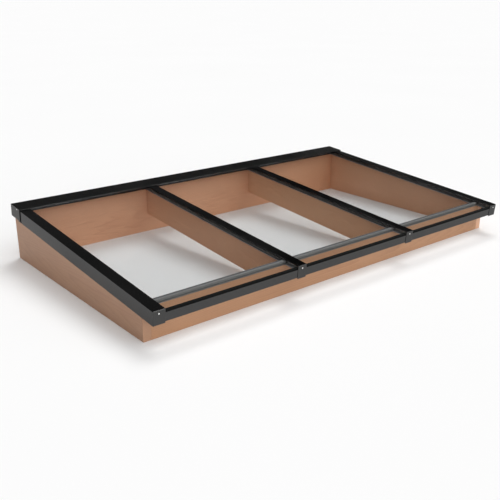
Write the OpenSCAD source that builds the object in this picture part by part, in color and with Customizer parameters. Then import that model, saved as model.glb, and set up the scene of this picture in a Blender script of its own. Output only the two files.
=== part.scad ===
// Fixed three-bay skylight on its own timber kerb: stepped sealed units held by aluminium glazing bars.
// Millimetres, +Z up. The origin is under the middle of the whole part, on the plane the kerb stands on.
// The front is the low eaves side, towards -Y.

/* [Kerb] */
// Outer width of the timber kerb
kerb_w = 3000; // [2400:10:3600]
// Outer depth of the timber kerb, measured level
kerb_d = 1600; // [1100:10:2200]
// Height of the kerb at its front face
kerb_front_h = 190; // [150:1:260]
// Slope of the glass
roof_pitch = 5; // [3:0.5:10]
// Thickness of the kerb boards
board_t = 50; // [45:1:60]
// Thickness of the two rafters
rafter_t = 45; // [38:1:60]
// Height of the rafters' underside above the base at their front ends
rafter_lift = 4; // [2:1:40]
// Depth of the housings that take the rafters' ends
housing = 15; // [8:1:20]

/* [Sealed units] */
// Thickness of the outer pane, which oversails the eaves
outer_pane_t = 6; // [4:0.5:8]
// Thickness of the inner pane
inner_pane_t = 6; // [4:0.5:8]
// Air gap between the panes
cavity = 12; // [10:1:16]
// Width of the spacer bar between the panes
spacer_w = 10; // [7:1:14]
// Width of the black edge seal around the spacer
seal_w = 8; // [5:1:10]
// Clear gap between a pane's edge and the bar's fin
pane_gap = 4; // [3:0.5:8]
// Set-back of the inner pane from the kerb's front face
unit_setback = 6; // [4:0.5:12]
// Gap between the panes' top edge and the rail on the back board
top_gap = 5; // [4:0.5:8]

/* [Glazing bars] */
// Width of the two middle bars
bar_w = 66; // [62:1:80]
// Reach of a side bar over the glass, from the middle of its fins
side_reach = 40; // [33:1:50]
// Distance from the kerb's side face to the middle of a side bar's fins
side_inset = 32; // [26:1:36]
// Thickness of the bars' base flange
base_t = 2.5; // [2:0.25:3.5]
// Clear channel between the two fins of a bar
channel_w = 12; // [11:0.5:14]
// Thickness of a fin
fin_t = 2; // [1.5:0.25:2.5]
// Room between the cap and the top of the fins
fin_room = 3.5; // [2:0.5:5]
// Thickness of the snap-on cap
cap_t = 3; // [2:0.25:4]
// Chamfer along the cap's long edges
cap_edge = 1; // [0.5:0.25:1.5]
// Overhang of the bars past the kerb's front face, along the slope
eaves = 109; // [80:1:160]
// Height of the skirt that hangs from a side bar, from the top of the cap
skirt_h = 82; // [60:1:95]
// Thickness of the side skirt
skirt_t = 2.5; // [2:0.25:4]
// Gap between the side skirt and the kerb
skirt_gap = 0.5; // [0.2:0.1:2]

/* [Gaskets] */
// Thickness of the gasket under the glass
low_gasket_t = 2.5; // [2.5:0.25:4]
// Thickness of the gasket over the glass
top_gasket_t = 2.5; // [2:0.25:4]
// Width of a gasket strip
gasket_w = 14; // [10:1:15]

/* [Eaves] */
// Thickness of the end cap plates
end_cap_t = 3; // [2:0.5:5]
// Height of the front end caps
end_cap_h = 83; // [66:1:96]
// Distance of the end cap's screw below the top of the bar
end_screw_drop = 19; // [18:0.5:22]
// Depth of the eaves trim's top flange
trim_flange = 19; // [10:1:30]
// Height of the eaves trim's face
trim_h = 52; // [35:1:60]
// Sheet thickness of the eaves trim
trim_t = 2; // [1.5:0.25:2.5]
// Depth of the stiffening lip along the trim's lower edge
trim_lip = 8; // [6:1:15]
// Height of the rubber strip between the trim and the pane
eaves_seal_h = 12.5; // [8:0.5:15]
// Width of the transoms that carry the glass along the front board
transom_w = 60; // [54:1:80]

/* [Back cover] */
// Distance that the cover reaches over the glass, from the back board's inner face
cover_front = 56; // [50:1:80]
// Distance that the cover stands out behind the kerb
cover_back = 39; // [20:1:60]
// Height of the cover's top above the bar caps
cover_rise = 8.5; // [6:0.5:12]
// Height of the cover's back skirt and end caps
cover_h = 83; // [65:1:100]
// Sheet thickness of the cover
cover_t = 3; // [2.5:0.25:3.5]
// Gap between the cover's end caps and the side skirts
cover_gap = 0.3; // [0.2:0.1:1]
// Width of the rubber seal in front of each of the cover's end caps
corner_seal_w = 12; // [8:1:16]
// Width of the rail under the cover
rail_w = 30; // [26:1:32]
// Wall of the rail under the cover
rail_t = 2.5; // [2:0.25:3]

/* [Fasteners] */
// Diameter of the bright dome heads on the end caps
dome_d = 10; // [8:0.5:11]
// Height of the dome heads
dome_h = 2.8; // [2:0.2:3.5]
// Diameter of the end cap screws
cap_screw_d = 3.8; // [3.5:0.1:4.2]
// Length of the end cap screws under the head
cap_screw_len = 25; // [16:1:32]
// Diameter of the wood screws
wood_screw_d = 4.2; // [3.5:0.1:4.8]
// Length of the wood screws in the timber
wood_screw_len = 38; // [25:1:50]
// Number of wood screws along each bar
bar_screw_count = 5; // [3:1:7]
// Number of wood screws in each transom
transom_screw_count = 3; // [2:1:4]
// Number of wood screws along the back rail
rail_screw_count = 7; // [4:1:10]

/* [Hidden] */
$fn = 48;
BAYS = ["left", "middle", "right"];
BARS = ["side_left", "mid_left", "mid_right", "side_right"];

// Colours
TIMBER = "#b88868";
BLACK_METAL = "#1c1c1c";
RUBBER = "#101010";
GREY_METAL = "#8a8c8c";
GLASS = [0.80, 0.86, 0.86, 0.35];
STEEL = "#d8d8d8";

// Small clearances and margins
clear = 0.3;
butt_gap = 0.5;
hole_clear = 0.4;
gasket_inset = 2;
fin_relief = 3;
lap = 0.5;
cap_lip = 1.5;
seal_lip = 2;

// Snap hooks: how far a hook reaches sideways, how far down its ledge goes, and the legs' thickness
hook_w = 1.1;
hook_drop = 2.3;
leg_t = 1.5;
rib_drop = 8;

// Along the slope, from the kerb's front top edge
board_v = board_t / cos(roof_pitch);
kerb_v = kerb_d / cos(roof_pitch);
back_inner_v = kerb_v - board_v;
eaves_v = -eaves;
fin_front_v = eaves_v + fin_relief;
pane_front_v = eaves_v + 1;
rail_v = kerb_v - 3 - rail_w;
pane_top_v = rail_v - top_gap;
base_end_v = back_inner_v + 8;
cover_front_v = back_inner_v - cover_front;
cover_back_v = kerb_v + cover_back / cos(roof_pitch);
cover_cap_v = cover_front_v + corner_seal_w - seal_lip;
port_v = cover_front_v + 46;
cap_end_v = port_v - 9;

// Above the kerb's top plane
inner_n = base_t + low_gasket_t;
cavity_n = inner_n + inner_pane_t;
outer_n = cavity_n + cavity;
glass_n = outer_n + outer_pane_t;
cap_n = glass_n + top_gasket_t;
top_n = cap_n + cap_t;
fin_n = cap_n - fin_room;
cover_n = top_n + cover_rise;
screw_n = top_n - end_screw_drop;
port_r = 4;
port_n = cover_n - cover_t - port_r - 1.5;

// Kerb: plan positions, with the whole part centred between the front screw heads and the cover's back skirt
half_w = kerb_w / 2;
slope = tan(roof_pitch);
front_reach = (eaves + end_cap_t + dome_h) * cos(roof_pitch) + screw_n * sin(roof_pitch);
back_reach = cover_back + (cover_h - cover_n) * sin(roof_pitch);
kerb_front_y = -(kerb_d + back_reach - front_reach) / 2;
kerb_back_y = kerb_front_y + kerb_d;
rafter_h = kerb_front_h + board_t * slope - rafter_lift;
rafter_front_y = kerb_front_y + board_t - housing;
rafter_back_y = kerb_back_y - board_t + housing;

// Across the bars
fin_half = channel_w / 2 + fin_t;
pane_edge = fin_half + pane_gap;
bar_pitch = (kerb_w - 2 * side_inset) / 3;
skirt_x = side_inset + skirt_gap + skirt_t;
cover_half = half_w + skirt_gap + skirt_t + cover_gap;

function bar_x(i) = -half_w + side_inset + i * bar_pitch;
function base_lo(i) = i == 0 ? -side_inset : i == 3 ? -side_reach : -bar_w / 2;
function base_hi(i) = -base_lo(3 - i);
function plate_lo(i) = i == 0 ? -skirt_x : base_lo(i);
function plate_hi(i) = -plate_lo(3 - i);
function pane_x0(j) = bar_x(j) + pane_edge;
function pane_x1(j) = bar_x(j + 1) - pane_edge;
function bay_x0(j) = bar_x(j) + base_hi(j) + butt_gap;
function bay_x1(j) = bar_x(j + 1) + base_lo(j + 1) - butt_gap;
function spread(a, b, count, k) = a + (b - a) * k / (count - 1);
function bar_screw_v(k) = spread(board_v / 2, back_inner_v - board_v / 4, bar_screw_count, k);
function transom_screw_x(j, k) = spread(bay_x0(j) + 60, bay_x1(j) - 60, transom_screw_count, k);
function rail_screw_x(k) = spread(-half_w + 120, half_w - 120, rail_screw_count, k);
function kerb_top(y) = kerb_front_h + (y - kerb_front_y) * slope;
transom_screw_front_v = board_v * 0.7;
transom_screw_back_v = back_inner_v + 6;

// Frames and sweeps

// Children drawn on the sloping plane of the kerb's top: Y runs up the slope, Z stands square to it
module on_slope() {
    translate([0, kerb_front_y, kerb_front_h])
        rotate([roof_pitch, 0, 0])
            children();
}

// Sections drawn in X and Z, each run up the slope from v0 to v1
module up_slope(v0, v1) {
    for (k = [0:$children - 1])
        translate([0, v1, 0])
            rotate([90, 0, 0])
                linear_extrude(v1 - v0)
                    children(k);
}

// Sections drawn in Y and Z, each run across from x0 to x1
module across(x0, x1) {
    for (k = [0:$children - 1])
        translate([x0, 0, 0])
            rotate([90, 0, 90])
                linear_extrude(x1 - x0)
                    children(k);
}

// A box between two corners
module block(a, b) {
    translate(a)
        cube(b - a);
}

// A rectangular ring, w wide, inside the outline x0 to x1 by v0 to v1
module ring(x0, x1, v0, v1, n0, n1, w) {
    difference() {
        block([x0, v0, n0], [x1, v1, n1]);
        block([x0 + w, v0 + w, n0 - 1], [x1 - w, v1 - w, n1 + 1]);
    }
}

// Fasteners

// A pan head wood screw whose head stands on n, drawn on the slope
module pan_screw(n) {
    translate([0, 0, n])
        cylinder(d = wood_screw_d * 1.9, h = 2.2);
    translate([0, 0, -wood_screw_len])
        cylinder(d = wood_screw_d, h = wood_screw_len + n + 1);
}

// A countersunk wood screw flush with the top of a base flange
module flush_screw() {
    translate([0, 0, base_t - 2])
        cylinder(d1 = wood_screw_d, d2 = wood_screw_d * 1.8, h = 2);
    translate([0, 0, -wood_screw_len])
        cylinder(d = wood_screw_d, h = wood_screw_len + base_t);
}

// A dome head screw pointing along +Z, its head's seat at zero
module dome_screw() {
    dome_r = (dome_d * dome_d / 4 + dome_h * dome_h) / (2 * dome_h);
    difference() {
        intersection() {
            translate([0, 0, dome_r - dome_h])
                sphere(r = dome_r, $fn = 64);
            translate([0, 0, -dome_h])
                cylinder(d = dome_d, h = dome_h);
        }
        translate([0, 0, -dome_h - 1])
            cylinder(d = dome_d * 0.42, h = dome_h * 0.5 + 1, $fn = 6);
    }
    translate([0, 0, -1])
        cylinder(d = cap_screw_d, h = cap_screw_len + 1);
}

// Pilot holes for every wood screw that enters the timber
module pilot_holes() {
    on_slope() {
        for (i = [0:3], k = [0:bar_screw_count - 1])
            translate([bar_x(i), bar_screw_v(k), -wood_screw_len])
                cylinder(d = wood_screw_d, h = wood_screw_len * 2);
        for (j = [0:2], k = [0:transom_screw_count - 1], v = [transom_screw_front_v, transom_screw_back_v])
            translate([transom_screw_x(j, k), v, -wood_screw_len])
                cylinder(d = wood_screw_d, h = wood_screw_len * 2);
        for (k = [0:rail_screw_count - 1])
            translate([rail_screw_x(k), rail_v + rail_w / 2, -wood_screw_len])
                cylinder(d = wood_screw_d, h = wood_screw_len * 2);
    }
}

// Timber

// A board seen from the side, from y0 to y1, with its top on the slope
module board_section(y0, y1) {
    polygon([[y0, 0], [y1, 0], [y1, kerb_top(y1)], [y0, kerb_top(y0)]]);
}

// The long section of a rafter, parallel to the slope
module rafter_section() {
    a = rafter_front_y;
    b = rafter_back_y;
    polygon([[a, kerb_top(a) - rafter_h], [b, kerb_top(b) - rafter_h], [b, kerb_top(b)], [a, kerb_top(a)]]);
}

// A cross board between the side boards, housed for the rafters' ends
module cross_board(y0, y1) {
    color(TIMBER)
        difference() {
            across(-half_w + board_t, half_w - board_t)
                board_section(y0, y1);
            for (i = [1, 2])
                across(bar_x(i) - rafter_t / 2, bar_x(i) + rafter_t / 2)
                    rafter_section();
            pilot_holes();
        }
}

module side_board(x0) {
    color(TIMBER)
        difference() {
            across(x0, x0 + board_t)
                board_section(kerb_front_y, kerb_back_y);
            pilot_holes();
        }
}

module rafter(i) {
    color(TIMBER)
        difference() {
            across(bar_x(i) - rafter_t / 2, bar_x(i) + rafter_t / 2)
                rafter_section();
            pilot_holes();
        }
}

// Glazing bars

// An outline drawn to the right of the middle, or its mirror image for side -1
module sided(side, points) {
    polygon([for (p = points) [side * p.x, p.y]]);
}

// One fin of a bar beside the channel, with the ledge that keeps the cap
module fin_section(side) {
    x = channel_w / 2;
    sided(side, [[x, base_t - lap], [x + fin_t, base_t - lap], [x + fin_t, fin_n],
                 [x - hook_w, fin_n], [x - hook_w, fin_n - 1.2], [x, fin_n - hook_drop]]);
}

module bar_base(i) {
    color(BLACK_METAL)
        on_slope()
            difference() {
                translate([bar_x(i), 0, 0])
                    up_slope(fin_front_v, base_end_v) {
                        translate([base_lo(i), 0])
                            square([base_hi(i) - base_lo(i), base_t]);
                        fin_section(-1);
                        fin_section(1);
                    }
                for (k = [0:bar_screw_count - 1])
                    translate([bar_x(i), bar_screw_v(k), -1])
                        cylinder(d = wood_screw_d + hole_clear, h = base_t + 2);
            }
}

// One snap leg of a cap, with its barb under the fin's ledge
module leg_section(side) {
    x = channel_w / 2 - hook_w - clear;
    hook = fin_n - hook_drop - clear;
    sided(side, [[x - leg_t, cap_n + lap], [x - leg_t, hook - 3], [x, hook - 3],
                 [x + hook_w, hook - 0.8], [x + hook_w, hook], [x, hook], [x, cap_n + lap]]);
}

// The cap's plate with chamfered upper edges and a small drip lip on each side
module cap_plate(lo, hi) {
    lip_n = cap_n - cap_lip;
    polygon([[lo, lip_n], [lo + cap_lip, lip_n], [lo + cap_lip, cap_n], [hi - cap_lip, cap_n],
             [hi - cap_lip, lip_n], [hi, lip_n], [hi, top_n - cap_edge],
             [hi - cap_edge, top_n], [lo + cap_edge, top_n], [lo, top_n - cap_edge]]);
}

module bar_cap(i) {
    color(BLACK_METAL)
        on_slope()
            translate([bar_x(i), 0, 0])
                up_slope(eaves_v, cap_end_v) {
                    cap_plate(plate_lo(i), plate_hi(i));
                    leg_section(-1);
                    leg_section(1);
                    if (i == 0)
                        translate([-skirt_x, top_n - skirt_h])
                            square([skirt_t, skirt_h - cap_t + lap]);
                    if (i == 3)
                        translate([skirt_x - skirt_t, top_n - skirt_h])
                            square([skirt_t, skirt_h - cap_t + lap]);
                }
}

// The plate that closes a bar's front end and stops the glass from sliding
module end_cap(i) {
    color(BLACK_METAL)
        on_slope()
            difference() {
                translate([bar_x(i), 0, 0])
                    up_slope(eaves_v - end_cap_t, eaves_v)
                        translate([plate_lo(i), top_n - end_cap_h])
                            square([plate_hi(i) - plate_lo(i), end_cap_h]);
                translate([bar_x(i), eaves_v - end_cap_t - 1, screw_n])
                    rotate([-90, 0, 0])
                        cylinder(d = cap_screw_d + hole_clear, h = end_cap_t + 2);
            }
}

// Plugs in the front ends of the channels, which take the end caps' screws
module end_plugs() {
    plug_top = fin_n - 6.5;
    color(RUBBER)
        on_slope()
            for (i = [0:3])
                difference() {
                    block([bar_x(i) - channel_w / 2 + clear, eaves_v, base_t],
                          [bar_x(i) + channel_w / 2 - clear, eaves_v + cap_screw_len + 8, plug_top]);
                    translate([bar_x(i), eaves_v - 1, screw_n])
                        rotate([-90, 0, 0])
                            cylinder(d = cap_screw_d, h = cap_screw_len + 3);
                }
}

// Sealed units

module outer_pane(j) {
    color(GLASS)
        on_slope()
            block([pane_x0(j), pane_front_v, outer_n], [pane_x1(j), pane_top_v, glass_n]);
}

module inner_pane(j) {
    color(GLASS)
        on_slope()
            block([pane_x0(j), unit_setback, inner_n], [pane_x1(j), pane_top_v, cavity_n]);
}

module edge_seal(j) {
    color(RUBBER)
        on_slope()
            ring(pane_x0(j), pane_x1(j), unit_setback, pane_top_v, cavity_n, outer_n, seal_w);
}

module spacer(j) {
    color(GREY_METAL)
        on_slope()
            ring(pane_x0(j) + seal_w, pane_x1(j) - seal_w, unit_setback + seal_w, pane_top_v - seal_w,
                 cavity_n, outer_n, spacer_w);
}

// Gaskets

// A welded frame of gasket between the inner pane and the flanges under it
module low_gasket(j) {
    color(RUBBER)
        on_slope()
            ring(pane_x0(j) + gasket_inset, pane_x1(j) - gasket_inset,
                 unit_setback + gasket_inset, rail_v - butt_gap, base_t, inner_n, gasket_w);
}

// Two strips under the bars' caps and one under the cover's front lip, thinned where it passes the caps' lips
module top_gasket(j) {
    x0 = pane_x0(j) + gasket_inset;
    x1 = pane_x1(j) - gasket_inset;
    v0 = pane_front_v + gasket_inset;
    v1 = cap_end_v - gasket_inset;
    cross_v0 = cover_front_v - gasket_inset;
    cross_v1 = cover_front_v + cover_t + gasket_inset;
    color(RUBBER)
        on_slope() {
            block([x0, v0, glass_n], [x0 + gasket_w, v1, cap_n]);
            block([x1 - gasket_w, v0, glass_n], [x1, v1, cap_n]);
            block([x0, cross_v0, glass_n], [x1, cross_v1, cap_n - cap_lip - clear]);
            block([bay_x0(j), cross_v0, glass_n], [bay_x1(j), cross_v1, cap_n]);
        }
}

// Eaves

// The profile under the glass along the front board, with a rib at each edge
module front_transom(j) {
    v0 = unit_setback - 4;
    v1 = v0 + transom_w;
    rib = base_t + 1.5;
    color(GREY_METAL)
        on_slope()
            difference() {
                across(bay_x0(j), bay_x1(j))
                    polygon([[v0, 0], [v1, 0], [v1, rib], [v1 - 2, rib], [v1 - 2, base_t],
                             [v0 + 2, base_t], [v0 + 2, rib], [v0, rib]]);
                transom_holes(j, transom_screw_front_v);
            }
}

// The matching profile under the glass along the back board, flush with the board's inner face
module back_transom(j) {
    v0 = back_inner_v;
    v1 = rail_v - butt_gap;
    rib = base_t + 1.5;
    color(BLACK_METAL)
        on_slope()
            difference() {
                across(bay_x0(j), bay_x1(j))
                    polygon([[v0, 0], [v1, 0], [v1, base_t], [v0 + 1.2, base_t], [v0 + 1.2, rib], [v0, rib]]);
                transom_holes(j, transom_screw_back_v);
            }
}

// Countersunk holes for a transom's screws
module transom_holes(j, v) {
    for (k = [0:transom_screw_count - 1])
        translate([transom_screw_x(j, k), v, 0]) {
            translate([0, 0, -1])
                cylinder(d = wood_screw_d, h = base_t + 2);
            translate([0, 0, base_t - 2])
                cylinder(d1 = wood_screw_d, d2 = wood_screw_d * 1.8, h = 2);
        }
}

// The folded angle under the oversailing pane's front edge, its ends behind the end caps
module eaves_trim(j) {
    n1 = outer_n - eaves_seal_h;
    n0 = n1 - trim_h;
    v0 = eaves_v;
    t = trim_t;
    end_gap = fin_half + 2;
    color(BLACK_METAL)
        on_slope()
            across(bar_x(j) + end_gap, bar_x(j + 1) - end_gap)
                polygon([[v0, n0], [v0 + trim_lip, n0], [v0 + trim_lip, n0 + t], [v0 + t, n0 + t],
                         [v0 + t, n1 - t], [v0 + trim_flange, n1 - t], [v0 + trim_flange, n1], [v0, n1]]);
}

// The rubber strip on the trim's flange, bonded to the pane's underside
module eaves_seal(j) {
    color(RUBBER)
        on_slope()
            block([pane_x0(j), pane_front_v + gasket_inset, outer_n - eaves_seal_h],
                  [pane_x1(j), eaves_v + trim_flange - gasket_inset, outer_n]);
}

// Back cover

// The rail on the back board: a channel, open upwards, with a rib outside each wall
module back_rail() {
    n1 = cover_n - cover_t;
    rib_n = n1 - rib_drop;
    t = rail_t;
    w = rail_w;
    color(BLACK_METAL)
        on_slope()
            difference() {
                across(-half_w + 1, half_w - 1)
                    translate([rail_v, 0])
                        polygon([[0, 0], [w, 0], [w, rib_n - 2], [w + 1, rib_n - 1], [w + 1, rib_n],
                                 [w, rib_n], [w, n1], [w - t, n1], [w - t, t], [t, t], [t, n1], [0, n1],
                                 [0, rib_n], [-1, rib_n], [-1, rib_n - 1], [0, rib_n - 2]]);
                for (k = [0:rail_screw_count - 1])
                    translate([rail_screw_x(k), rail_v + rail_w / 2, -1])
                        cylinder(d = wood_screw_d + hole_clear, h = rail_t + 2);
            }
}

// A clip leg of the cover outside one wall of the rail, hooked under its rib; the wall is at zero
module clip_section(side) {
    n1 = cover_n - cover_t;
    hook = n1 - rib_drop - 2 - clear;
    x = 1 + clear;
    sided(side, [[x, n1 + lap], [x, hook], [x - 1, hook], [x - 1, hook - 0.8], [x, hook - 3],
                 [x + leg_t, hook - 3], [x + leg_t, n1 + lap]]);
}

// The wide folded cover over the bars' top ends, with a screw port under its top
module back_cover() {
    n1 = cover_n;
    n0 = cover_n - cover_t;
    color(BLACK_METAL)
        on_slope()
            difference() {
                across(-cover_half, cover_half) {
                    translate([cover_front_v, n0])
                        square([cover_back_v - cover_front_v, cover_t]);
                    translate([cover_front_v, cap_n])
                        square([cover_t, n0 - cap_n + lap]);
                    translate([cover_back_v - cover_t, n1 - cover_h])
                        square([cover_t, cover_h - cover_t + lap]);
                    translate([rail_v, 0])
                        clip_section(-1);
                    translate([rail_v + rail_w, 0])
                        clip_section(1);
                    translate([port_v - 1, port_n])
                        square([2, n0 - port_n + lap]);
                    translate([port_v, port_n])
                        circle(r = port_r);
                }
                translate([-cover_half - 1, port_v, port_n])
                    rotate([0, 90, 0])
                        cylinder(d = cap_screw_d, h = 2 * cover_half + 2);
                for (i = [0:3])
                    block([i == 0 ? -cover_half - 1 : bar_x(i) + plate_lo(i) - clear, cover_front_v - 1, 0],
                          [i == 3 ? cover_half + 1 : bar_x(i) + plate_hi(i) + clear,
                           cover_front_v + cover_t + 1, top_n + clear]);
            }
}

// The plate that closes one end of the cover; side is -1 on the left and 1 on the right
module back_end_cap(side) {
    x0 = side < 0 ? -cover_half - end_cap_t : cover_half;
    color(BLACK_METAL)
        on_slope()
            difference() {
                block([x0, cover_cap_v, cover_n - cover_h], [x0 + end_cap_t, cover_back_v, cover_n]);
                translate([x0 - 1, port_v, port_n])
                    rotate([0, 90, 0])
                        cylinder(d = cap_screw_d + hole_clear, h = end_cap_t + 2);
            }
}

// Rubber strips between the side skirts and the cover's end caps: a narrow lip of each lies on the skirt,
// and the rest closes the cover's end
module corner_seals() {
    seal_x = half_w + skirt_gap + skirt_t;
    color(RUBBER)
        on_slope()
            for (side = [0, 1])
                mirror([side, 0, 0]) {
                    block([seal_x, cover_front_v - seal_lip, top_n - skirt_h],
                          [seal_x + 2, cover_front_v, top_n]);
                    block([cover_half, cover_front_v - lap, cover_n - cover_h],
                          [seal_x + 2, cover_cap_v, cover_n]);
                }
}

// Screw groups

module end_cap_screws() {
    color(STEEL)
        on_slope()
            for (i = [0:3])
                translate([bar_x(i), eaves_v - end_cap_t, screw_n])
                    rotate([-90, 0, 0])
                        dome_screw();
}

module back_cap_screws() {
    color(STEEL)
        on_slope()
            for (side = [0, 1])
                mirror([side, 0, 0])
                    translate([cover_half + end_cap_t, port_v, port_n])
                        rotate([0, -90, 0])
                            dome_screw();
}

module bar_screws() {
    color(STEEL)
        on_slope()
            for (i = [0:3], k = [0:bar_screw_count - 1])
                translate([bar_x(i), bar_screw_v(k), 0])
                    pan_screw(base_t);
}

module transom_screws() {
    color(STEEL)
        on_slope()
            for (j = [0:2], k = [0:transom_screw_count - 1])
                for (v = [transom_screw_front_v, transom_screw_back_v])
                    translate([transom_screw_x(j, k), v, 0])
                        flush_screw();
}

module rail_screws() {
    color(STEEL)
        on_slope()
            for (k = [0:rail_screw_count - 1])
                translate([rail_screw_x(k), rail_v + rail_w / 2, 0])
                    pan_screw(rail_t);
}

cross_board(kerb_front_y, kerb_front_y + board_t);  // kerb_front_board
cross_board(kerb_back_y - board_t, kerb_back_y);  // kerb_back_board
side_board(-half_w);  // kerb_side_board_left
side_board(half_w - board_t);  // kerb_side_board_right
rafter(1);  // rafter_left
rafter(2);  // rafter_right
for (i = [0:3]) {
    bar_base(i);
    bar_cap(i);
    end_cap(i);
}
for (j = [0:2]) {
    outer_pane(j);
    inner_pane(j);
    spacer(j);
    edge_seal(j);
    low_gasket(j);
    top_gasket(j);
    front_transom(j);
    back_transom(j);
    eaves_trim(j);
    eaves_seal(j);
}
back_rail();
back_cover();
back_end_cap(-1);  // back_end_cap_left
back_end_cap(1);  // back_end_cap_right
corner_seals();
end_plugs();
end_cap_screws();
back_cap_screws();
bar_screws();
transom_screws();
rail_screws();
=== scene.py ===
"""Looks of a fixed three-bay roof skylight: timber kerb, black glazing bars, clear sealed units."""
import math

import bmesh
import bpy
from mathutils import Matrix, Vector


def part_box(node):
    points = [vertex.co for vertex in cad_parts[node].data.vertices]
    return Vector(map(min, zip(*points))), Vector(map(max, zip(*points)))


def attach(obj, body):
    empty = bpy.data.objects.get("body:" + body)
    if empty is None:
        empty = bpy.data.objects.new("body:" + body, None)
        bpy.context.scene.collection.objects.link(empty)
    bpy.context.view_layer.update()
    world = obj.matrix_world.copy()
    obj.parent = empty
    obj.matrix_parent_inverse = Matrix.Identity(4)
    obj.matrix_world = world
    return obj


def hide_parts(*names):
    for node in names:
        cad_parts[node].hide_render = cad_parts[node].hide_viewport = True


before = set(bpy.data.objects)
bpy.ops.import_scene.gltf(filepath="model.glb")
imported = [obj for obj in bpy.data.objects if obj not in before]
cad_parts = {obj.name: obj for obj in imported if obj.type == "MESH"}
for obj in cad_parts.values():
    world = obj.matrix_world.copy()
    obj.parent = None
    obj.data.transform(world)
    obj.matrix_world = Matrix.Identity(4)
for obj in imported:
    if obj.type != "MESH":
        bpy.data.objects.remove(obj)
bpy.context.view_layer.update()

BARS = ("side_left", "mid_left", "mid_right", "side_right")
BAYS = ("left", "middle", "right")

# Sizes in metres, as in the solids: V runs up the slope from the kerb's front, N stands square to the slope
SLOPE = math.radians(5)
KERB_FRONT_H = 0.190
ON_SLOPE = (Matrix.Translation((0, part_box("kerb_front_board")[0][1], KERB_FRONT_H))
            @ Matrix.Rotation(SLOPE, 4, "X"))
LEVELLED = Matrix.Rotation(-SLOPE, 4, "X")
OFF_SLOPE = Vector((0, -math.sin(SLOPE), math.cos(SLOPE)))
BAR_X = (-1.468, -0.489333, 0.489333, 1.468)
BAR_FRONT_V = -0.109
END_CAP_T = 0.003
END_SCREW_N = 0.0155
COVER_END_X = 1.5063
COVER_SCREW_V = 1.545921
COVER_SCREW_N = 0.0345
SPACER_W = 0.010

# Fine forms that the solids leave out, in metres
TIMBER_EASE = 0.0015
CAP_EASE = 0.0005
TRIM_EASE = 0.0009
COVER_EASE = 0.0010
PLATE_CORNER = 0.005
PLATE_EASE = 0.0022
GLASS_ARRIS = 0.0008
GLASS_CLEARANCE = 0.00015
BEAD_W = 0.006
BEAD_T = 0.0012
BEAD_CLEARANCE = 0.0001

# A dome head screw: rings of (radius, height, six-sided share), from the socket's floor to the tip
SCREW_SIDES = 24
SCREW_HEAD = (
    (0.0021, -0.0014, 1.0),
    (0.0021, -0.0026, 1.0),
    (0.0024, -0.0028, 0.6),
    (0.0029, -0.00272, 0.0),
    (0.0036, -0.00235, 0.0),
    (0.0043, -0.00165, 0.0),
    (0.0048, -0.0008, 0.0),
    (0.0050, -0.0002, 0.0),
    (0.0049, 0.0, 0.0),
    (0.0019, 0.0, 0.0),
    (0.0019, 0.0035, 0.0),
)
THREAD_START = 0.0035
THREAD_PITCH = 0.0011
THREAD_TURNS = 19
THREAD_TURN = ((0.0014, 0.0002), (0.0019, 0.0007))
SCREW_TIP = (0.0012, 0.0249, 0.0)

# Working limits for edges and faces
MERGE_DISTANCE = 1e-5
TOUCH = 1e-4
PLATE_SLACK = 0.001
SHORT_EDGE = 0.002
FLAT_ANGLE = math.radians(0.4)
SHARP_ANGLE = math.radians(30)
SHADING_ANGLE = math.radians(34)
EASES_PER_FLAT = 2.1
FACING_UP_OR_DOWN = 0.99

# Each board: the axis its grain runs along, its tone, a point on its pith and how its pith leans. The tones
# hold painted light and shade as well as the wood's own tone: boards inside the kerb are made paler, and the
# outer front and left boards darker, to stand in for how the light falls on them
BOARDS = (
    ("kerb_front_board", 0, (0.805, 0.797, 0.710), (0.0, -0.655, 0.085), (0.0, 0.012, 0.022)),
    ("kerb_back_board", 0, (1.21, 1.17, 1.11), (0.0, 0.930, 0.120), (0.0, -0.010, -0.020)),
    ("kerb_side_board_left", 1, (0.74, 0.77, 0.77), (-1.390, 0.0, 0.100), (0.020, 0.0, -0.024)),
    ("kerb_side_board_right", 1, (1.21, 1.31, 1.36), (1.395, 0.0, 0.070), (0.016, 0.0, 0.020)),
    ("rafter_left", 1, (1.13, 1.14, 1.09), (-0.425, 0.0, 0.140), (0.060, 0.0, 0.018)),
    ("rafter_right", 1, (1.14, 1.22, 1.19), (0.560, 0.0, 0.190), (0.070, 0.0, -0.021)),
)

# Camera, fitted to the photograph's edges
IMAGE_SIDE = 500
FOCAL_PIXELS = 695.95
SENSOR = 36.0
CLIP_END = 2000
EYE = Vector((-3.1120, -3.5766, 1.6724))
HEADING = math.radians(-39.521)
LOOK_DOWN = math.radians(20.008)
ROLL = math.radians(0.105)

# Studio: the ways that light comes from, and the heights between which the sky turns white
FLOOR_SIZE = 600
KEY_STRENGTH = 1.28
KEY_SPREAD = math.radians(30)
KEY_FROM = Vector((0.46, 0.32, 0.83))
OVERHEAD = (0.0, -0.2, 0.98)
IN_FRONT = (0.1, -0.95, 0.28)
BEHIND = (0.30, 0.88, 0.36)
FRONT_STRENGTH = 1.33
BEHIND_STRENGTH = 0.11
RIM_STARTS = 0.31
RIM_WHITE = 0.17


# Shader maths

class Wire:
    """A socket's value, with the usual operators as Math nodes."""

    def __init__(self, finish, socket):
        self.finish = finish
        self.socket = socket

    def _math(self, operation, first, second):
        return self.finish.add("ShaderNodeMath", {"operation": operation}, {0: first, 1: second})

    def __add__(self, other):
        return self._math("ADD", self, other)

    def __radd__(self, other):
        return self._math("ADD", other, self)

    def __sub__(self, other):
        return self._math("SUBTRACT", self, other)

    def __rsub__(self, other):
        return self._math("SUBTRACT", other, self)

    def __mul__(self, other):
        return self._math("MULTIPLY", self, other)

    def __rmul__(self, other):
        return self._math("MULTIPLY", other, self)

    def __pow__(self, other):
        return self._math("POWER", self, other)


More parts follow.
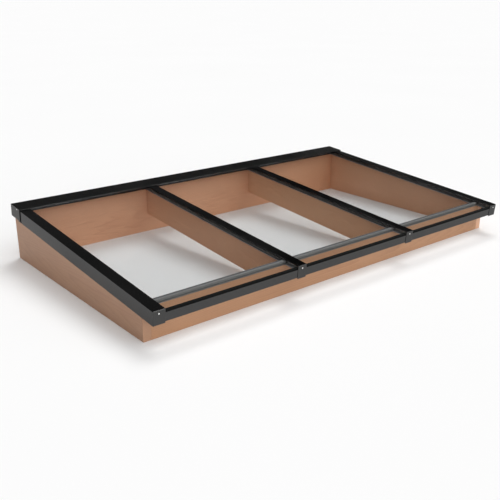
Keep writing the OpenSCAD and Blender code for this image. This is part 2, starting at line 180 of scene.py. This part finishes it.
class Finish:
    """A node tree that a surface finish is written into."""

    def __init__(self, tree):
        self.tree = tree
        self.tree.nodes.clear()

    def add(self, kind, settings=None, sockets=None, out=0):
        """Adds a node, sets it up, fills its sockets with values or wires, and returns one output."""
        node = self.tree.nodes.new(kind)
        for name, value in (settings or {}).items():
            setattr(node, name, value)
        for name, value in (sockets or {}).items():
            if isinstance(value, Wire):
                self.tree.links.new(value.socket, node.inputs[name])
            else:
                node.inputs[name].default_value = value
        return Wire(self, node.outputs[out])

    def place(self, scale=(1, 1, 1), shift=(0, 0, 0)):
        """Object coordinates in metres, stretched by scale."""
        spot = self.add("ShaderNodeTexCoord", out="Object")
        return self.add("ShaderNodeMapping", None, {"Vector": spot, "Scale": scale, "Location": shift})

    def noise(self, where, scale=1.0, detail=2.0, roughness=0.5):
        return self.add("ShaderNodeTexNoise", None,
                        {"Vector": where, "Scale": scale, "Detail": detail, "Roughness": roughness})

    def between(self, value, low, high, to_low=0.0, to_high=1.0):
        return self.add("ShaderNodeMapRange", None, {"Value": value, "From Min": low, "From Max": high,
                                                     "To Min": to_low, "To Max": to_high})

    def towards(self, sky, way, start, full):
        """How far a direction of the sky leans one way: 0 at the start and 1 where it is full."""
        lean = self.add("ShaderNodeVectorMath", {"operation": "DOT_PRODUCT"}, {0: sky, 1: way}, out="Value")
        return self.between(lean, start, full)

    def blend(self, factor, first, second):
        return self.add("ShaderNodeMix", {"data_type": "RGBA"}, {0: factor, 6: first, 7: second}, out=2)

    def bump(self, height, strength, distance):
        return self.add("ShaderNodeBump", None,
                        {"Height": height, "Strength": strength, "Distance": distance})

    def shader(self, **sockets):
        """The main shader; underscores stand for spaces in socket names."""
        return self.add("ShaderNodeBsdfPrincipled", None,
                        {name.replace("_", " "): value for name, value in sockets.items()})

    def show(self, surface, kind="ShaderNodeOutputMaterial"):
        output = self.tree.nodes.new(kind)
        self.tree.links.new(surface.socket, output.inputs["Surface"])


def material(name):
    made = bpy.data.materials.new(name)
    made.use_nodes = True
    return made, Finish(made.node_tree)


def rgb(red, green, blue):
    return (red, green, blue, 1.0)


def grey(value):
    return rgb(value, value, value)


# Finishes

def planed_timber(name, along, pith, tilt, tone_and_painted_light, seed):
    """Planed softwood, its grain along one axis: 0 for X and 1 for Y.

    Growth rings run round a pith beside the board, so its ends show arcs and its faces long arches.
    """
    made, f = material(name)
    rings_per_metre = 170.0
    rings_astray = 9.0

    def stretched(across_grain, along_grain):
        scale = [across_grain] * 3
        scale[along] = along_grain
        return tuple(scale)

    # Scales a colour by the board's multipliers, which carry painted light and shade as well as its tone
    def tone(red, green, blue):
        return rgb(red * tone_and_painted_light[0], green * tone_and_painted_light[1], blue * tone_and_painted_light[2])

    shift = (seed * 3.7, seed * 5.1, seed * 2.3)
    spot = f.add("ShaderNodeTexCoord", out="Object")
    from_pith = f.add("ShaderNodeMapping", {"vector_type": "TEXTURE"},
                      {"Vector": spot, "Location": pith, "Rotation": tilt})
    flat = f.add("ShaderNodeVectorMath", {"operation": "MULTIPLY"}, {0: from_pith, 1: stretched(1.0, 0.0)})
    radius = f.add("ShaderNodeVectorMath", {"operation": "LENGTH"}, {0: flat}, out="Value")
    wander = f.noise(f.place(stretched(9.0, 0.5), shift), detail=3.0)
    count = radius * rings_per_metre + wander * rings_astray
    ring = f.add("ShaderNodeMath", {"operation": "FRACT"}, {0: count})
    late = ring ** 3.0 * f.between(ring, 0.93, 1.0, to_low=1.0, to_high=0.0)
    streak = f.noise(f.place(stretched(850.0, 16.0), shift), roughness=0.6)
    cloud = f.noise(f.place(stretched(1.6, 1.6), shift))
    early = f.blend(f.between(wander, 0.3, 0.7), tone(0.66, 0.365, 0.225), tone(0.61, 0.325, 0.195))
    rings = f.blend(late * 0.55, early, tone(0.45, 0.205, 0.112))
    fibre = f.blend(f.between(streak, 0.40, 0.75, to_high=0.22), rings, tone(0.40, 0.185, 0.100))
    colour = f.blend(f.between(cloud, 0.3, 0.7, to_high=0.18), fibre, tone(0.72, 0.415, 0.265))
    relief = f.bump(streak * 0.6 + late * 0.4, strength=0.12, distance=0.0006)
    f.show(f.shader(Base_Color=colour, Roughness=0.47 + streak * 0.16 - late * 0.08,
                    Specular_IOR_Level=0.5, Normal=relief))
    return made


def black_metal():
    """Satin black coat over aluminium, finely pebbled; its gloss hardly grows towards a grazing view."""
    made, f = material("satin black coat")
    peel = f.noise(f.place(), scale=900.0)
    drift = f.noise(f.place(), scale=3.0)
    colour = f.blend(drift, grey(0.064), rgb(0.074, 0.074, 0.073))
    f.show(f.shader(Base_Color=colour, Metallic=1.0, Specular_Tint=grey(0.68),
                    Roughness=f.between(drift, 0.3, 0.7, to_low=0.13, to_high=0.18),
                    Normal=f.bump(peel, strength=0.05, distance=0.0002)))
    return made


def matt_rubber(name, dark, light):
    made, f = material(name)
    grain = f.noise(f.place(), scale=700.0, detail=3.0)
    f.show(f.shader(Base_Color=f.blend(grain, dark, light), Roughness=0.62 + grain * 0.2,
                    Specular_IOR_Level=0.05, Normal=f.bump(grain, strength=0.1, distance=0.0003)))
    return made


def grey_aluminium(name, dark, light):
    """Grey anodised aluminium, a little streaked along its drawing."""
    made, f = material(name)
    drawn = f.noise(f.place((60.0, 60.0, 900.0)))
    f.show(f.shader(Base_Color=f.blend(drawn, dark, light), Metallic=0.25, Roughness=0.42 + drawn * 0.14))
    return made


def grey_sealant():
    """The dark grey silicone that closes a sealed unit's edge."""
    made, f = material("dark grey sealant")
    skin = f.noise(f.place(), scale=180.0, detail=3.0)
    colour = f.blend(skin, rgb(0.17, 0.17, 0.167), rgb(0.205, 0.205, 0.201))
    f.show(f.shader(Base_Color=colour, Roughness=0.5 + skin * 0.2, Specular_IOR_Level=0.4,
                    Normal=f.bump(skin, strength=0.15, distance=0.0005)))
    return made


def bright_steel():
    made, f = material("bright stainless steel")
    turned_marks = f.noise(f.place(), scale=1500.0)
    colour = f.blend(turned_marks, rgb(0.70, 0.70, 0.69), rgb(0.86, 0.86, 0.85))
    f.show(f.shader(Base_Color=colour, Metallic=1.0, Roughness=0.18 + turned_marks * 0.14))
    return made


def clear_glass():
    """A pane's faces: light passes straight through, and the gloss grows towards a grazing view."""
    made, f = material("clear glass")
    facing = f.add("ShaderNodeLayerWeight", None, {"Blend": 0.5}, out="Facing")
    gloss = 0.012 + facing ** 5.0 * 0.35
    see = f.add("ShaderNodeBsdfTransparent", None, {"Color": rgb(0.962, 0.966, 0.967)})
    shine = f.add("ShaderNodeBsdfGlossy", None, {"Color": grey(1.0), "Roughness": 0.015})
    f.show(f.add("ShaderNodeMixShader", None, {0: gloss, 1: see, 2: shine}))
    return made


def glass_edge(name, dark, light):
    """The ground edges of a pane as opaque faces, their colour painted shade and painted light standing in
    for the light that runs the long way through the glass.
    """
    made, f = material(name)
    ground = f.noise(f.place(), scale=600.0, detail=3.0)
    f.show(f.shader(Base_Color=f.blend(ground, dark, light), Roughness=0.35 + ground * 0.2,
                    Specular_IOR_Level=0.06))
    return made


def pale_floor():
    made, f = material("pale studio floor")
    tone = f.noise(f.place(), scale=0.35)
    f.show(f.shader(Base_Color=f.blend(tone, grey(0.90), grey(0.92)), Roughness=0.9, Specular_IOR_Level=0.0))
    return made


# Pieces

def merged_copy(node):
    """A copy of a solid's mesh with its loose triangles joined into flat faces."""
    b = bmesh.new()
    b.from_mesh(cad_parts[node].data)
    bmesh.ops.remove_doubles(b, verts=b.verts, dist=MERGE_DISTANCE)
    bmesh.ops.dissolve_limit(b, angle_limit=FLAT_ANGLE, verts=b.verts, edges=b.edges)
    return b


def piece(name, b, finishes, slot, *nodes):
    """Makes an object of a bmesh, which stands for one or more solids."""
    mesh = bpy.data.meshes.new(name)
    for face in b.faces:
        face.smooth = True
    b.to_mesh(mesh)
    b.free()
    mesh.set_sharp_from_angle(angle=SHADING_ANGLE)
    made = bpy.data.objects.new(name, mesh)
    bpy.context.collection.objects.link(made)
    for finish in finishes:
        mesh.materials.append(finish)
    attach(made, "root")
    if nodes:
        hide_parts(*nodes)
    return made


def dress(node, finish):
    """Gives a solid that stays as it is its finish."""
    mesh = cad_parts[node].data
    mesh.materials.clear()
    mesh.materials.append(finish)


def flat_width(face):
    """How wide a flat is, its longest edge being its length."""
    return face.calc_area() / max(e.calc_length() for e in face.edges)


def sharp_edges(b, shortest=SHORT_EDGE, narrowest=0.0):
    """Edges that a hand would find sharp, without short ones round small holes and those of narrow flats."""
    return [e for e in b.edges if len(e.link_faces) == 2 and e.calc_length() > shortest
            and e.calc_face_angle(0.0) > SHARP_ANGLE
            and min(flat_width(face) for face in e.link_faces) > narrowest]


def round_over(b, edges, width, steps):
    bmesh.ops.bevel(b, geom=edges, offset=width, segments=steps, profile=0.5, affect="EDGES", material=-1)


def even_flats(made):
    """Shades the flats of an eased piece evenly, up to their edges."""
    flats = made.modifiers.new("even flats", "WEIGHTED_NORMAL")
    flats.keep_sharp = True
    flats.weight = 100
    return made


def eased(node, finish, slot, width, shortest=SHORT_EDGE, steps=2):
    """The solid with its long sharp edges eased, where the flats beside them have room for it."""
    b = merged_copy(node)
    round_over(b, sharp_edges(b, shortest, EASES_PER_FLAT * width), width, steps)
    return even_flats(piece(node + "_eased", b, [finish], slot, node))


def end_plate(node, finish):
    """A bar's end plate: its top corners and all of its front edge rounded."""
    b = merged_copy(node)
    top = max((LEVELLED @ v.co).z for v in b.verts)
    front = min((LEVELLED @ v.co).y for v in b.verts)
    corners = [e for e in sharp_edges(b) if e.calc_length() < END_CAP_T + PLATE_SLACK
               and all((LEVELLED @ v.co).z > top - TOUCH for v in e.verts)]
    round_over(b, corners, PLATE_CORNER, steps=5)
    rim = [e for e in sharp_edges(b, shortest=0.0012)
           if all((LEVELLED @ v.co).y < front + TOUCH for v in e.verts)]
    round_over(b, rim, PLATE_EASE, steps=4)
    return even_flats(piece(node + "_rounded", b, [finish], "black_metal", node))


def glass_pane(node, faces, edges):
    """A pane with arrised, ground edges, a hair thinner so that its faces lie clear of the seals on them."""
    b = merged_copy(node)
    round_over(b, list(b.edges), GLASS_ARRIS, steps=1)
    heights = [v.co.dot(OFF_SLOPE) for v in b.verts]
    middle = (min(heights) + max(heights)) / 2
    for v, height in zip(b.verts, heights):
        v.co += OFF_SLOPE * math.copysign(GLASS_CLEARANCE, middle - height)
    for face in b.faces:
        face.material_index = 0 if abs(face.normal.dot(OFF_SLOPE)) > FACING_UP_OR_DOWN else 1
    return piece(node + "_glass", b, [faces, edges], "glass", node)


def butyl_bead(bay, finish):
    """The dark bead that squeezes out beside a unit's spacer, under the outer pane."""
    corners = [ON_SLOPE.inverted() @ v.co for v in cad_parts[f"spacer_{bay}"].data.vertices]
    low = Vector([min(c[k] for c in corners) + SPACER_W for k in (0, 1)])
    high = Vector([max(c[k] for c in corners) - SPACER_W for k in (0, 1)])
    top = max(c.z for c in corners) - BEAD_CLEARANCE
    b = bmesh.new()
    sheet = bmesh.ops.create_grid(b, x_segments=1, y_segments=1, size=0.5)["verts"]
    bmesh.ops.scale(b, vec=(high.x - low.x, high.y - low.y, 1), verts=sheet)
    bmesh.ops.inset_region(b, faces=list(b.faces), thickness=BEAD_W, use_boundary=True, use_even_offset=True)
    opening = [face for face in b.faces if all(len(e.link_faces) == 2 for e in face.edges)]
    bmesh.ops.delete(b, geom=opening, context="FACES")
    grown = bmesh.ops.extrude_face_region(b, geom=list(b.faces))["geom"]
    lower = [g for g in grown if isinstance(g, bmesh.types.BMVert)]
    bmesh.ops.translate(b, vec=(0, 0, -BEAD_T), verts=lower)
    bmesh.ops.recalc_face_normals(b, faces=b.faces)
    centre = Matrix.Translation(((low.x + high.x) / 2, (low.y + high.y) / 2, top))
    bmesh.ops.transform(b, matrix=ON_SLOPE @ centre, verts=b.verts)
    return piece(f"butyl_bead_{bay}", b, [finish], "rubber")


def turned(b, place, rings):
    """A closed turned shape: a disc that grows through rings of (radius, height, six-sided share)."""
    def spread(verts, radius, height, six):
        for v in verts:
            angle = math.atan2(v.co.y, v.co.x)
            flat = math.cos(math.pi / 6) / math.cos(angle % (math.pi / 3) - math.pi / 6)
            reach = radius * (1 + six * (flat - 1))
            v.co = Vector((reach * math.cos(angle), reach * math.sin(angle), height))

    made = bmesh.ops.create_circle(b, cap_ends=True, segments=SCREW_SIDES, radius=1.0)["verts"]
    spread(made, *rings[0])
    rim = [e for e in b.edges if e.verts[0] in made and e.verts[1] in made]
    every = list(made)
    for ring in rings[1:]:
        grown = bmesh.ops.extrude_edge_only(b, edges=rim)["geom"]
        made = [g for g in grown if isinstance(g, bmesh.types.BMVert)]
        rim = [g for g in grown if isinstance(g, bmesh.types.BMEdge) and all(v in made for v in g.verts)]
        spread(made, *ring)
        every += made
    bmesh.ops.contextual_create(b, geom=rim)
    bmesh.ops.transform(b, matrix=place, verts=every)


def dome_screws(name, places, steel):
    """Dome head screws with a hexagon socket and a rolled thread.

    A place has the head's seat at zero and the shank upwards.
    """
    rings = list(SCREW_HEAD)
    for turn in range(THREAD_TURNS):
        up = THREAD_START + turn * THREAD_PITCH
        rings += [(radius, up + rise, 0.0) for radius, rise in THREAD_TURN]
    rings.append(SCREW_TIP)
    b = bmesh.new()
    for place in places:
        turned(b, place, rings)
    bmesh.ops.recalc_face_normals(b, faces=b.faces)
    return piece(name + "_turned", b, [steel], "steel", name)


# Scene

def camera():
    data = bpy.data.cameras.new("camera")
    data.sensor_width = SENSOR
    data.lens = FOCAL_PIXELS / IMAGE_SIDE * SENSOR
    data.clip_end = CLIP_END
    made = bpy.data.objects.new("camera", data)
    made.matrix_world = (Matrix.Translation(EYE) @ Matrix.Rotation(HEADING, 4, "Z")
                         @ Matrix.Rotation(math.pi / 2 - LOOK_DOWN, 4, "X") @ Matrix.Rotation(ROLL, 4, "Z"))
    bpy.context.collection.objects.link(made)
    bpy.context.scene.camera = made


def floor():
    b = bmesh.new()
    bmesh.ops.create_grid(b, x_segments=1, y_segments=1, size=FLOOR_SIZE)
    mesh = bpy.data.meshes.new("floor")
    b.to_mesh(mesh)
    b.free()
    mesh.materials.append(pale_floor())
    made = bpy.data.objects.new("floor", mesh)
    bpy.context.collection.objects.link(made)


def lights():
    """A soft key from the back right, a glow overhead, one in front and a faint one behind.

    Low down the sky is white to the eye, the metal and the glass, but lights nothing.
    """
    data = bpy.data.lights.new("key", "SUN")
    data.energy = KEY_STRENGTH
    data.angle = KEY_SPREAD
    made = bpy.data.objects.new("key", data)
    made.rotation_euler = KEY_FROM.to_track_quat("Z", "Y").to_euler()
    bpy.context.collection.objects.link(made)
    world = bpy.data.worlds.new("studio")
    bpy.context.scene.world = world
    world.use_nodes = True
    f = Finish(world.node_tree)
    sky = f.add("ShaderNodeTexCoord", out="Generated")
    overhead = f.towards(sky, OVERHEAD, start=0.60, full=0.95)
    front = f.towards(sky, IN_FRONT, start=0.20, full=0.95)
    behind = f.towards(sky, BEHIND, start=0.90, full=1.0)
    glow = overhead + front * FRONT_STRENGTH + behind * BEHIND_STRENGTH
    eye, metal, through = (f.add("ShaderNodeLightPath", out=f"Is {ray} Ray")
                           for ray in ("Camera", "Glossy", "Transmission"))
    seen = f.add("ShaderNodeMath", {"operation": "MINIMUM"}, {0: eye + metal + through, 1: 1.0})
    rim = seen * f.towards(sky, (0.0, 0.0, 1.0), start=RIM_STARTS, full=RIM_WHITE)
    light = f.add("ShaderNodeBackground", None, {"Color": grey(1.0), "Strength": glow * (1.0 - rim) + rim})
    f.show(light, "ShaderNodeOutputWorld")


def kerb():
    for seed, (node, along, tone_and_painted_light, pith, tilt) in enumerate(BOARDS):
        timber = planed_timber(f"planed timber, {node.replace('_', ' ')}", along, pith, tilt, tone_and_painted_light, seed)
        eased(node, timber, "timber", TIMBER_EASE, shortest=0.03)


def glazing_bars(coat):
    base_metal = grey_aluminium("plain aluminium bar base", grey(0.38), grey(0.44))
    for bar in BARS:
        eased(f"bar_cap_{bar}", coat, "black_metal", CAP_EASE, shortest=0.01)
        end_plate(f"end_cap_{bar}", coat)
        dress(f"bar_base_{bar}", base_metal)


def sealed_units():
    glass = clear_glass()
    # The outer pane's edge is near black: painted shade for the dark band along the eaves
    outer_edge_painted_shade = glass_edge("ground glass edge, outer pane",
                            rgb(0.004, 0.005, 0.005), rgb(0.008, 0.010, 0.009))
    # The inner pane's edge is grey: painted light standing in for the timber and surroundings seen through
    # the edge
    inner_edge_painted_light = glass_edge("ground glass edge, inner pane",
                            rgb(0.12, 0.13, 0.12), rgb(0.16, 0.17, 0.16))
    butyl = matt_rubber("dark grey butyl", rgb(0.07, 0.07, 0.069), rgb(0.09, 0.09, 0.088))
    spacer_metal = grey_aluminium("dark grey aluminium spacer", grey(0.10), grey(0.12))
    sealant = grey_sealant()
    for bay in BAYS:
        glass_pane(f"outer_pane_{bay}", glass, outer_edge_painted_shade)
        glass_pane(f"inner_pane_{bay}", glass, inner_edge_painted_light)
        butyl_bead(bay, butyl)
        dress(f"spacer_{bay}", spacer_metal)
        dress(f"edge_seal_{bay}", sealant)


def eaves_and_seats(coat, rubber):
    seat_rubber = matt_rubber("dark grey rubber", rgb(0.15, 0.15, 0.147), rgb(0.18, 0.18, 0.177))
    transom_metal = grey_aluminium("grey aluminium transom", grey(0.22), grey(0.26))
    for bay in BAYS:
        eased(f"eaves_trim_{bay}", coat, "black_metal", TRIM_EASE, shortest=0.0015)
        dress(f"eaves_seal_{bay}", rubber)
        dress(f"low_gasket_{bay}", seat_rubber)
        dress(f"top_gasket_{bay}", rubber)
        dress(f"front_transom_{bay}", transom_metal)
        dress(f"back_transom_{bay}", coat)
    dress("end_plugs", rubber)


def back_cover(coat, rubber):
    eased("back_cover", coat, "black_metal", COVER_EASE, shortest=0.0025)
    for side in ("left", "right"):
        eased(f"back_end_cap_{side}", coat, "black_metal", COVER_EASE, steps=3)
    dress("back_rail", coat)
    dress("corner_seals", rubber)


def screws():
    steel = bright_steel()
    into_bar = Matrix.Rotation(-math.pi / 2, 4, "X")
    dome_screws("end_cap_screws",
                [ON_SLOPE @ Matrix.Translation((x, BAR_FRONT_V - END_CAP_T, END_SCREW_N)) @ into_bar
                 for x in BAR_X], steel)
    dome_screws("back_cap_screws",
                [ON_SLOPE @ Matrix.Translation((side * COVER_END_X, COVER_SCREW_V, COVER_SCREW_N))
                 @ Matrix.Rotation(-side * math.pi / 2, 4, "Y") for side in (-1, 1)], steel)
    for group in ("bar_screws", "transom_screws", "rail_screws"):
        dress(group, steel)


def skylight():
    coat = black_metal()
    rubber = matt_rubber("black rubber", grey(0.004), grey(0.009))
    kerb()
    glazing_bars(coat)
    sealed_units()
    eaves_and_seats(coat, rubber)
    back_cover(coat, rubber)
    screws()


bpy.context.scene.view_settings.view_transform = "Standard"
camera()
floor()
lights()
skylight()
